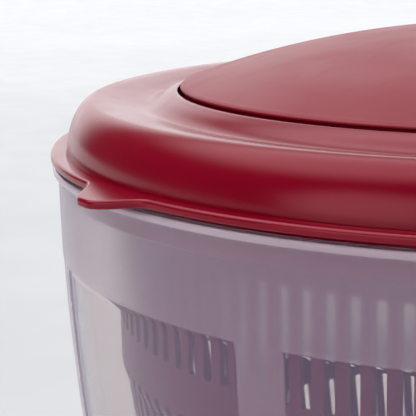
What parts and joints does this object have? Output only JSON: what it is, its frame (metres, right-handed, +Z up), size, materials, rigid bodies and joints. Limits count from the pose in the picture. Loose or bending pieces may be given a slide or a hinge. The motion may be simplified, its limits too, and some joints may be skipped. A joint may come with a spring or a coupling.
{
  "type": "salad spinner",
  "caption": "Crank salad spinner: translucent bowl with clear windows, slotted inner basket, domed turning lid with thumb tab and finger knob, geared drive.",
  "frame": {"origin": "centre of the underside of the non-slip base disc, on the table and on the spin axis", "axes": "+Z up along the spin axis, -Y towards the thumb tab on the lid, +X towards the finger knob at rest"},
  "size_m": [0.26, 0.2676, 0.2096],
  "materials": {
    "translucent_bowl": "translucent, frosted with polished windows",
    "red_lid": "satin",
    "red_basket": "satin",
    "white_plastic": "moulded",
    "rubber": "matte",
    "steel": "turned"
  },
  "bodies": {
    "bowl": {"bowl": "translucent_bowl", "base_disc": "rubber", "pivot_pin": "steel"},
    "carrier": {"pivot_bush": "white_plastic"},
    "basket": {"basket": "red_basket"},
    "lid": {"lid_shell": "red_lid", "shaft_bush": "white_plastic", "retaining_ring": "white_plastic", "retainer_screw_1": "steel", "retainer_screw_2": "steel", "retainer_screw_3": "steel", "idler_pin_1": "steel", "idler_pin_2": "steel", "idler_pin_3": "steel", "idler_clip_1": "steel", "idler_clip_2": "steel", "idler_clip_3": "steel"},
    "crank": {"crank_dome": "red_lid", "ring_gear": "white_plastic", "ring_screw_1": "steel", "ring_screw_2": "steel", "ring_screw_3": "steel", "knob_spindle": "steel", "knob_clip": "steel"},
    "knob": {"knob": "red_lid", "knob_cap": "red_lid"},
    "idler_1": {"idler_gear_1": "white_plastic"},
    "idler_2": {"idler_gear_2": "white_plastic"},
    "idler_3": {"idler_gear_3": "white_plastic"},
    "drive": {"drive_pinion": "white_plastic", "drive_shaft": "steel", "shaft_circlip": "steel", "drive_plate": "white_plastic", "drive_screw": "steel"}
  },
  "joints": [
    {"name": "lid_lift", "type": "slide", "parent": "bowl", "child": "lid", "axis": [0, 0, 1], "range_m": [0, 0.3]},
    {"name": "basket_lift", "type": "slide", "parent": "bowl", "child": "carrier", "axis": [0, 0, 1], "range_m": [0, 0.15]},
    {"name": "basket_spin", "type": "hinge", "parent": "carrier", "child": "basket", "pos_m": [0, 0, 0.02], "axis": [0, 0, 1], "continuous": true},
    {"name": "crank_spin", "type": "hinge", "parent": "lid", "child": "crank", "pos_m": [0, 0, 0.165], "axis": [0, 0, 1], "continuous": true},
    {"name": "knob_spin", "type": "hinge", "parent": "crank", "child": "knob", "pos_m": [0.079, 0, 0.19], "axis": [0, 0, 1], "continuous": true},
    {"name": "idler_spin_1", "type": "hinge", "parent": "lid", "child": "idler_1", "pos_m": [0.03, 0, 0.16], "axis": [0, 0, 1], "continuous": true},
    {"name": "idler_spin_2", "type": "hinge", "parent": "lid", "child": "idler_2", "pos_m": [-0.015, 0.02598, 0.16], "axis": [0, 0, 1], "continuous": true},
    {"name": "idler_spin_3", "type": "hinge", "parent": "lid", "child": "idler_3", "pos_m": [-0.015, -0.02598, 0.16], "axis": [0, 0, 1], "continuous": true},
    {"name": "drive_spin", "type": "hinge", "parent": "lid", "child": "drive", "pos_m": [0, 0, 0.15], "axis": [0, 0, 1], "continuous": true}
  ],
  "couplings": [
    {"joint": "basket_lift", "follows": "lid_lift", "ratio": 0.5},
    {"joint": "drive_spin", "follows": "basket_spin", "ratio": 1},
    {"joint": "crank_spin", "follows": "basket_spin", "ratio": -0.25},
    {"joint": "idler_spin_1", "follows": "basket_spin", "ratio": -0.66667},
    {"joint": "idler_spin_2", "follows": "basket_spin", "ratio": -0.66667},
    {"joint": "idler_spin_3", "follows": "basket_spin", "ratio": -0.66667}
  ]
}
